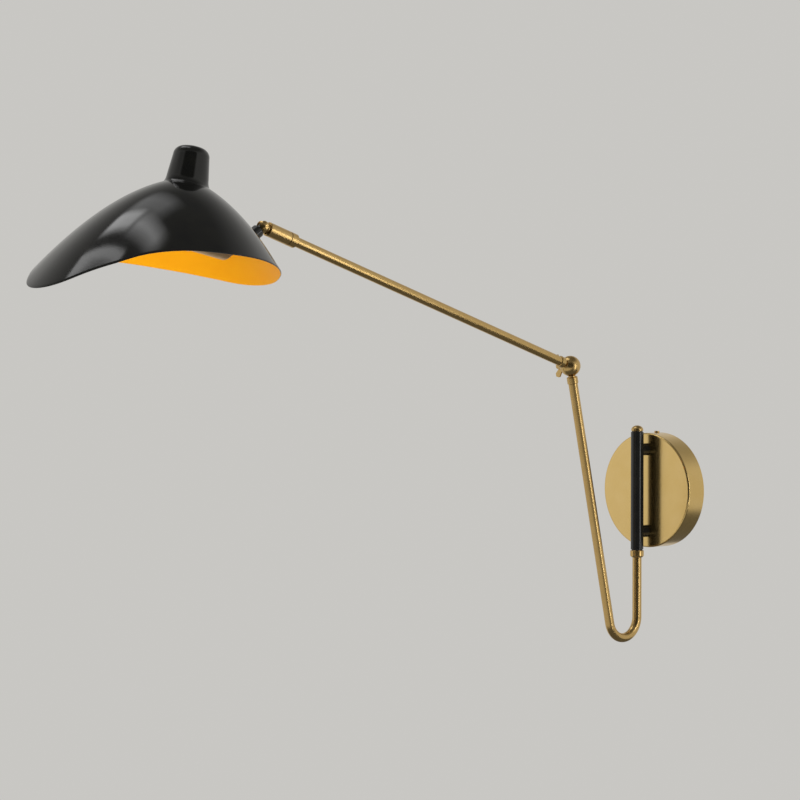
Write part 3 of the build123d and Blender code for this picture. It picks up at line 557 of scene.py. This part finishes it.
def rimDrop(tree, reach, sizes):
    # the rim line as a curve: both ways scaled to 0..1
    rim = sizes["rim"]
    low, high = rim[0][0], rim[-1][0]
    top, bottom = sizes["rimDrops"]
    curve = tree.nodes.new("ShaderNodeFloatCurve")
    points = curve.mapping.curves[0].points
    while len(points) < len(rim):
        points.new(0.5, 0.5)
    curve.mapping.use_clip = False
    for point, (along, drop) in zip(points, rim):
        point.location = ((along - low) / (high - low), (drop - top) / (bottom - top))
        point.handle_type = "AUTO"
    curve.mapping.update()
    scaled = mathOf(tree, "DIVIDE", mathOf(tree, "SUBTRACT", reach, low), high - low)
    tree.links.new(scaled, curve.inputs["Value"])
    return mathOf(tree, "MULTIPLY_ADD", curve.outputs["Value"], bottom - top, top)


def rimRadius(tree, share, towardsBill, given, sizes):
    low, high = sizes["rimRadii"]
    guess = mathOf(tree, "ADD", mathOf(tree, "MULTIPLY", share, 0.0), (low + high) / 2)     # all start alike
    step = (high - low) / 4
    for halving in range(sizes["halvings"]):
        rim = rimDrop(tree, mathOf(tree, "MULTIPLY", guess, towardsBill), sizes)
        over = mathOf(tree, "SUBTRACT", rim, domeDrop(tree, guess, given))
        guess = mathOf(tree, "MULTIPLY_ADD", mathOf(tree, "SIGN", over), step, guess)
        step /= 2
    return guess


def shadeTree(sizes, finish):
    # a flat grid is wrapped round the crown: one way is the turn, the other goes from screw hole to rim
    numbers = ["crownFlat", "skirtRadius", "crownSlope", "skirtSlope", "screwHole"]
    tree, given = newTree("spunShade", {number: "NodeSocketFloat" for number in numbers})
    grid = tree.nodes.new("GeometryNodeMeshGrid")
    grid.inputs["Vertices X"].default_value = sizes["around"] + 1
    grid.inputs["Vertices Y"].default_value = sizes["down"] + 1
    place = tree.nodes.new("GeometryNodeInputPosition")
    split = splitOf(tree, place.outputs["Position"])
    turn = mathOf(tree, "MULTIPLY", mathOf(tree, "ADD", split["X"], 0.5), 2 * math.pi)
    share = mathOf(tree, "ADD", split["Y"], 0.5)
    towardsBill = mathOf(tree, "MULTIPLY", mathOf(tree, "COSINE", turn), -1.0)
    sideways = mathOf(tree, "SINE", turn)

    reach = mathOf(tree, "SUBTRACT", rimRadius(tree, share, towardsBill, given, sizes), given["screwHole"])
    crowded = mathOf(tree, "POWER", share, sizes["crowding"])
    radius = mathOf(tree, "MULTIPLY_ADD", crowded, reach, given["screwHole"])
    fall = domeDrop(tree, radius, given)
    outwards = mathOf(tree, "MULTIPLY", mathOf(tree, "MULTIPLY", radius, towardsBill), -1.0)
    joined = vectorOf(tree, x=mathOf(tree, "MULTIPLY", radius, sideways), y=outwards,
                      z=mathOf(tree, "MULTIPLY", fall, -1.0))

    setPlace = tree.nodes.new("GeometryNodeSetPosition")
    tree.links.new(grid.outputs["Mesh"], setPlace.inputs["Geometry"])
    tree.links.new(joined, setPlace.inputs["Position"])
    merge = tree.nodes.new("GeometryNodeMergeByDistance")
    merge.inputs["Distance"].default_value = sizes["weld"]
    tree.links.new(setPlace.outputs["Geometry"], merge.inputs["Geometry"])
    smooth = tree.nodes.new("GeometryNodeSetShadeSmooth")
    tree.links.new(merge.outputs["Geometry"], smooth.inputs["Geometry"])
    endTree(tree, smooth.outputs["Geometry"], finish)
    return tree


def makeShade(sizes):
    shade = grown("shadeShell", shadeTree(sizes, paint["blackEnamel"]), sizes)
    shade.data.materials.clear()
    for finish in ("blackEnamel", "amberEnamel"):
        shade.data.materials.append(paint[finish])
    sheet = shade.modifiers.new("sheet", "SOLIDIFY")
    sheet.thickness = sizes["wall"]
    sheet.offset = -1.0
    sheet.use_even_offset = True
    sheet.material_offset = 1           # amber inside
    sheet.material_offset_rim = 0
    edge = shade.modifiers.new("edge", "BEVEL")
    edge.width = sizes["edge"]
    edge.segments = sizes["edgeSteps"]
    edge.limit_method = "ANGLE"
    edge.angle_limit = math.radians(sizes["edgeSharp"])
    applyModifiers(shade)
    shade.data.transform(shadeFrame)
    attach(shade, "shade_unit")
    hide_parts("shade")
    return shade


# turned caps: the cap on the shade's crown and the one on the post
crownCapSizes = {"foot": 0.0228, "footIn": 0.0188, "waist": 0.0197, "waistHeight": 0.0035,
                 "kneeOut": 0.0004, "kneeHeight": 0.0022, "top": 0.0172, "shoulderHeight": 0.0232,
                 "shoulder": 0.009, "height": 0.0338, "wall": 0.0012, "around": 96,
                 "footSteps": 12, "roofSteps": 8, "arcStep": 6, "insideStep": 10}
postCapSizes = {"place": (0, lampLines["post"], 0.0656), "radius": 0.0066, "skirt": 0.0012, "rise": 0.0049,
                "bore": 0.00502, "boreDepth": 0.0029, "footEdge": 0.0003, "around": 64, "arcStep": 6}


def turned(name, outline, around, finish):
    # spins an outline of (radius, height) points about z; a point on the axis is one vertex
    onAxis = 0.000001
    turns = [2 * math.pi * n / around for n in range(around)]
    work = bmesh.new()
    rings = []
    for radius, height in outline:
        if radius < onAxis:
            rings.append([work.verts.new((0, 0, height))])
        else:
            rings.append([work.verts.new((radius * math.cos(turn), radius * math.sin(turn), height))
                          for turn in turns])
    for first, second in zip(rings, rings[1:]):
        for n in range(around):
            corners = [first[n % len(first)], first[(n + 1) % len(first)],
                       second[(n + 1) % len(second)], second[n % len(second)]]
            work.faces.new(list(dict.fromkeys(corners)))
    mesh = bpy.data.meshes.new(name)
    work.to_mesh(mesh)
    work.free()
    mesh.materials.append(finish)
    piece = bpy.data.objects.new(name, mesh)
    bpy.context.scene.collection.objects.link(piece)
    return piece


def bentLine(first, middle, last, steps):
    # points of a quadratic bend from the first point to the last
    points = []
    for n in range(steps + 1):
        t = n / steps
        points.append(tuple((1 - t) ** 2 * a + 2 * t * (1 - t) * b + t * t * c
                            for a, b, c in zip(first, middle, last)))
    return points


def quarterRound(centre, wide, high, step):
    # from the side of the round to its top
    angles = [math.radians(angle) for angle in range(0, 91, step)]
    return [(centre[0] + wide * math.cos(angle), centre[1] + high * math.sin(angle)) for angle in angles]


def outerFace(radius):
    # height of the shade's outer face against its crown
    run = radius - shadeSizes["crownFlat"]
    steeper = shadeSizes["skirtSlope"] - shadeSizes["crownSlope"]
    gain = steeper / (shadeSizes["skirtRadius"] - shadeSizes["crownFlat"])
    return -(shadeSizes["crownSlope"] * run + gain * run * run / 2)


def makeCrownCap(sizes):
    foot = (sizes["foot"], outerFace(sizes["foot"]))
    footIn = (sizes["footIn"], outerFace(sizes["footIn"]))
    knee = (sizes["waist"] + sizes["kneeOut"], foot[1] + sizes["kneeHeight"])
    waist = (sizes["waist"], sizes["waistHeight"])
    bend = sizes["shoulder"]
    corner = (sizes["top"] - bend, sizes["shoulderHeight"])
    arc = quarterRound(corner, bend, bend, sizes["arcStep"])
    roof = bentLine(arc[-1], (corner[0] / 2, sizes["height"]), (0, sizes["height"]), sizes["roofSteps"])
    inner = bend - sizes["wall"]
    inside = quarterRound(corner, inner, inner, sizes["insideStep"])
    outline = [(0, inside[-1][1])] + inside[::-1] + [footIn]
    outline += bentLine(foot, knee, waist, sizes["footSteps"]) + arc + roof[1:]
    cap = turned("crownCapTurned", outline, sizes["around"], paint["blackEnamel"])
    cap.data.transform(shadeFrame)
    smoothed(cap)
    inPlaceOf(cap, "crown_cap")


def makePostCap(sizes):
    radius, skirt = sizes["radius"], sizes["skirt"]
    dome = quarterRound((0, skirt), radius, sizes["rise"], sizes["arcStep"])
    dome[-1] = (0, skirt + sizes["rise"])
    bore = [(0, sizes["boreDepth"]), (sizes["bore"], sizes["boreDepth"]), (sizes["bore"], 0)]
    outline = bore + [(radius - sizes["footEdge"], 0), (radius, sizes["footEdge"])] + dome
    cap = turned("postCapTurned", outline, sizes["around"], brass)
    cap.data.transform(Matrix.Translation(sizes["place"]))
    smoothed(cap)
    inPlaceOf(cap, "post_cap")


makeBentTube(lampLines, tubeSizes)
makeCrownCap(crownCapSizes)
makePostCap(postCapSizes)
print("bent tube and caps made")
shade = makeShade(shadeSizes)
print("shade made, faces", len(shade.data.polygons))


# the room: pale at the height of the eye, with a dark ceiling
room = {"background": 0.58, "tint": (1.0, 0.985, 0.945), "ambient": 0.75, "ceiling": 0.13,
        "ceilingFrom": 0.45, "ceilingTo": 0.82,
        "floorPlace": (0, -0.4, -1.25), "floorSize": 3.8, "floorFade": (0.9, 1.6),
        "floorColour": (0.60, 0.59, 0.565), "floorRoughness": 0.9, "floorShine": 0.1}


def seenRay(tree):
    path = tree.nodes.new("ShaderNodeLightPath")
    direct = mathOf(tree, "MAXIMUM", path.outputs["Is Camera Ray"], path.outputs["Is Glossy Ray"])
    return mathOf(tree, "MAXIMUM", direct, path.outputs["Is Transmission Ray"])


def makeWorld(room):
    world = bpy.data.worlds.new("room")
    world.use_nodes = True
    tree = world.node_tree
    tree.nodes.clear()
    coords = tree.nodes.new("ShaderNodeTexCoord")
    height = splitOf(tree, coords.outputs["Generated"])["Z"]
    level = rangeOf(tree, height, room["background"], room["ceiling"], room["ceilingFrom"], room["ceilingTo"])
    seen = tree.nodes.new("ShaderNodeBackground")
    seen.inputs["Color"].default_value = (*room["tint"], 1)
    tree.links.new(level, seen.inputs["Strength"])
    lit = tree.nodes.new("ShaderNodeBackground")
    lit.inputs["Color"].default_value = (*room["tint"], 1)
    lit.inputs["Strength"].default_value = room["ambient"]
    mixed = mixOf(tree, seenRay(tree), lit.outputs["Background"], seen.outputs["Background"])
    out = tree.nodes.new("ShaderNodeOutputWorld")
    tree.links.new(mixed, out.inputs["Surface"])
    bpy.context.scene.world = world


def flatPlane(name, width, height, finish):
    x, y = width / 2, height / 2
    mesh = bpy.data.meshes.new(name)
    mesh.from_pydata([(-x, -y, 0), (x, -y, 0), (x, y, 0), (-x, y, 0)], [], [(0, 1, 2, 3)])
    plane = bpy.data.objects.new(name, mesh)
    bpy.context.scene.collection.objects.link(plane)
    mesh.materials.append(finish)
    return plane


def makeFloor(room):
    # near the lamp the floor shows its shadow, further out it fades into the background
    finish, tree, shader = newFinish("paleFloor")
    shader.inputs["Base Color"].default_value = (*room["floorColour"], 1)
    shader.inputs["Roughness"].default_value = room["floorRoughness"]
    shader.inputs["Specular IOR Level"].default_value = room["floorShine"]
    coords = tree.nodes.new("ShaderNodeTexCoord")
    outside = rangeOf(tree, lengthOf(tree, coords.outputs["Object"]), 0.0, 1.0, *room["floorFade"])
    glow = tree.nodes.new("ShaderNodeEmission")
    glow.inputs["Color"].default_value = (*room["tint"], 1)
    glow.inputs["Strength"].default_value = room["background"]
    faded = mathOf(tree, "MULTIPLY", outside, seenRay(tree))
    mixed = mixOf(tree, faded, shader.outputs["BSDF"], glow.outputs["Emission"])
    tree.links.new(mixed, tree.nodes["Material Output"].inputs["Surface"])
    floor = flatPlane("floor", room["floorSize"], room["floorSize"], finish)
    floor.location = room["floorPlace"]


# lamps: three soft fills that reflections don't show, and one narrow strip that they do
lamps = {
    "fillBelow": {"place": (1.3, -2.0, -0.75), "aim": (0, -0.65, 0.25), "size": (1.2, 0.8),
                  "power": 7.0, "reflected": False},
    "fillBack": {"place": (1.5, -0.15, -0.7), "aim": (0, -0.78, 0.25), "size": (0.8, 0.8),
                 "power": 11.0, "reflected": False},
    "fillAbove": {"place": (0.2, -1.6, 2.4), "aim": (0, -0.4, 0.1), "size": (1.4, 1.4),
                  "power": 26.0, "reflected": False},
    "stripRight": {"place": (0.90, 0.11, -0.05), "aim": (0, lampLines["post"], -0.05), "size": (0.10, 0.90),
                   "power": 1.0, "reflected": True},
}


def makeLamps(lamps):
    for name, lamp in lamps.items():
        light = bpy.data.lights.new(name, "AREA")
        light.shape = "RECTANGLE"
        light.size, light.size_y = lamp["size"]
        light.energy = lamp["power"]
        holder = bpy.data.objects.new(name, light)
        bpy.context.scene.collection.objects.link(holder)
        holder.location = lamp["place"]
        aim = Vector(lamp["aim"]) - Vector(lamp["place"])
        holder.rotation_euler = aim.to_track_quat("-Z", "Y").to_euler()
        holder.visible_camera = False
        holder.visible_glossy = lamp["reflected"]


# cards, bright or dark, that only reflections in the metal and the paint show
cards = {
    "windowBack": {"place": (-1.28, -0.67, 2.29), "turn": (0, 0, 0), "size": (0.88, 0.48),
                   "brightness": 3.0, "border": 0.14},
    "windowTail": {"place": (-0.42, -0.72, 2.28), "turn": (0, 0, 0), "size": (1.10, 0.50),
                   "brightness": 2.5, "border": 0.24},
    "glowBack": {"place": (-1.05, -0.28, 2.30), "turn": (0, 0, 0), "size": (1.50, 0.90),
                 "brightness": 1.0, "border": 0.35},
    "windowFront": {"place": (-1.10, -1.15, 2.30), "turn": (0, 0, 0), "size": (1.30, 0.20),
                    "brightness": 2.3, "border": 0.05},
    "windowSide": {"place": (-2.30, -2.00, 0.10), "turn": (90, 0, 129.6), "size": (2.20, 2.40),
                   "brightness": 0.82, "border": 1.05},
    "roomLeft": {"place": (-0.95, -4.40, 0.60), "turn": (90, 0, 0), "size": (3.10, 4.40),
                 "brightness": 0.10, "border": 0.30},
    "roomBehind": {"place": (2.90, -2.70, 1.20), "turn": (90, 0, 45.0), "size": (7.40, 6.40),
                   "brightness": 0.03, "border": 1.20},
    "roomBelow": {"place": (0.60, 0.20, -0.86), "turn": (0, 0, 0), "size": (3.20, 2.60),
                  "brightness": 0.12, "border": 0.30},
}
sampledFrom = 0.5      # dimmer cards aren't sampled as light sources


def cardFinish(name, card):
    finish, tree = newFinish(name)[:2]
    coords = tree.nodes.new("ShaderNodeTexCoord")
    split = splitOf(tree, coords.outputs["Object"])
    shares = []
    for axis, side in zip("XY", card["size"]):
        away = mathOf(tree, "ABSOLUTE", split[axis])
        shares.append(rangeOf(tree, away, 1, 0, side / 2 - card["border"], side / 2))
    glow = tree.nodes.new("ShaderNodeEmission")
    glow.inputs["Strength"].default_value = card["brightness"]
    clear = tree.nodes.new("ShaderNodeBsdfTransparent")
    mixed = mixOf(tree, mathOf(tree, "MULTIPLY", *shares), clear.outputs["BSDF"], glow.outputs["Emission"])
    tree.links.new(mixed, tree.nodes["Material Output"].inputs["Surface"])
    finish.cycles.emission_sampling = "FRONT_BACK" if card["brightness"] > sampledFrom else "NONE"
    return finish


def makeCards(cards):
    for name, card in cards.items():
        plane = flatPlane(name, *card["size"], cardFinish(name, card))
        plane.location = card["place"]
        plane.rotation_euler = [math.radians(angle) for angle in card["turn"]]
        plane.visible_camera = False
        plane.visible_diffuse = False
        plane.visible_shadow = False
        plane.visible_transmission = False


makeCards(cards)
makeWorld(room)
makeFloor(room)
makeLamps(lamps)
bpy.context.scene.view_settings.view_transform = "Standard"
print("room and lamps")
